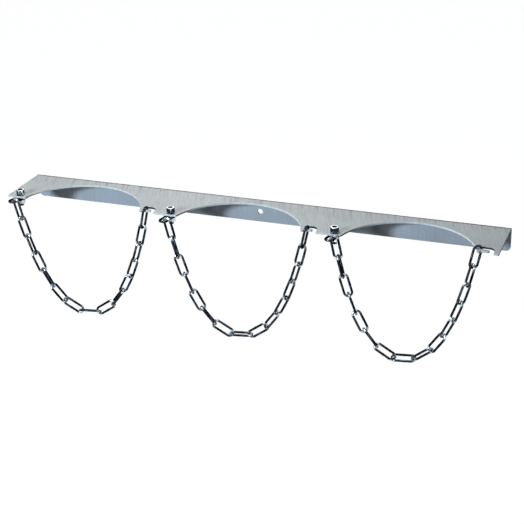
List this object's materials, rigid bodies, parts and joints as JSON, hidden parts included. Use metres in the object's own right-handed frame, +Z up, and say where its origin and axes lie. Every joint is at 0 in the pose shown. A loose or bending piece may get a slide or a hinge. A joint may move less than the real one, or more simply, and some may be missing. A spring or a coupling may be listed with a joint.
{
  "type": "gas cylinder bracket",
  "caption": "Folded sheet-metal wall bracket with round recesses for gas cylinders, each closed by a hanging safety chain from a clamped screw to an open hook.",
  "frame": {"origin": "centre of the line of wall fixing holes, on the back face of the flange, at the middle hole", "axes": "X along the wall with the screw of each station on its left; -Y out of the wall towards the user, +Y into the wall; +Z up"},
  "size_m": [0.8106, 0.126, 0.2118],
  "materials": {
    "galvanised_sheet": "zinc-coated sheet, satin, fine rolled grain from front to back",
    "chain_steel": "bright zinc-plated wire, glossy",
    "screw_steel": "bright zinc-plated steel"
  },
  "bodies": {
    "frame": {"bracket": "galvanised_sheet", "cap_screws": "screw_steel", "spring_washers": "screw_steel", "hex_nuts": "screw_steel", "clamped_link_1": "chain_steel", "chain_1_link_01": "chain_steel", "chain_1_link_15": "chain_steel", "clamped_link_2": "chain_steel", "chain_2_link_01": "chain_steel", "chain_2_link_15": "chain_steel", "clamped_link_3": "chain_steel", "chain_3_link_01": "chain_steel", "chain_3_link_15": "chain_steel"},
    "chain_1": {"chain_1_link_02": "chain_steel", "chain_1_link_03": "chain_steel", "chain_1_link_04": "chain_steel", "chain_1_link_05": "chain_steel", "chain_1_link_06": "chain_steel", "chain_1_link_07": "chain_steel", "chain_1_link_08": "chain_steel", "chain_1_link_09": "chain_steel", "chain_1_link_10": "chain_steel", "chain_1_link_11": "chain_steel", "chain_1_link_12": "chain_steel", "chain_1_link_13": "chain_steel", "chain_1_link_14": "chain_steel"},
    "chain_2": {"chain_2_link_02": "chain_steel", "chain_2_link_03": "chain_steel", "chain_2_link_04": "chain_steel", "chain_2_link_05": "chain_steel", "chain_2_link_06": "chain_steel", "chain_2_link_07": "chain_steel", "chain_2_link_08": "chain_steel", "chain_2_link_09": "chain_steel", "chain_2_link_10": "chain_steel", "chain_2_link_11": "chain_steel", "chain_2_link_12": "chain_steel", "chain_2_link_13": "chain_steel", "chain_2_link_14": "chain_steel"},
    "chain_3": {"chain_3_link_02": "chain_steel", "chain_3_link_03": "chain_steel", "chain_3_link_04": "chain_steel", "chain_3_link_05": "chain_steel", "chain_3_link_06": "chain_steel", "chain_3_link_07": "chain_steel", "chain_3_link_08": "chain_steel", "chain_3_link_09": "chain_steel", "chain_3_link_10": "chain_steel", "chain_3_link_11": "chain_steel", "chain_3_link_12": "chain_steel", "chain_3_link_13": "chain_steel", "chain_3_link_14": "chain_steel"}
  },
  "joints": [
    {"name": "chain_1_swing", "type": "hinge", "parent": "frame", "child": "chain_1", "pos_m": [-0.37682, -0.11526, -0.01426], "axis": [-0.9949, -0.0892, -0.0468], "range_deg": [-25, 40]},
    {"name": "chain_2_swing", "type": "hinge", "parent": "frame", "child": "chain_2", "pos_m": [-0.10475, -0.11808, -0.01428], "axis": [-0.9936, -0.1028, -0.0472], "range_deg": [-25, 40]},
    {"name": "chain_3_swing", "type": "hinge", "parent": "frame", "child": "chain_3", "pos_m": [0.16555, -0.10983, -0.01439], "axis": [-0.9961, -0.0862, -0.0206], "range_deg": [-25, 40]}
  ]
}
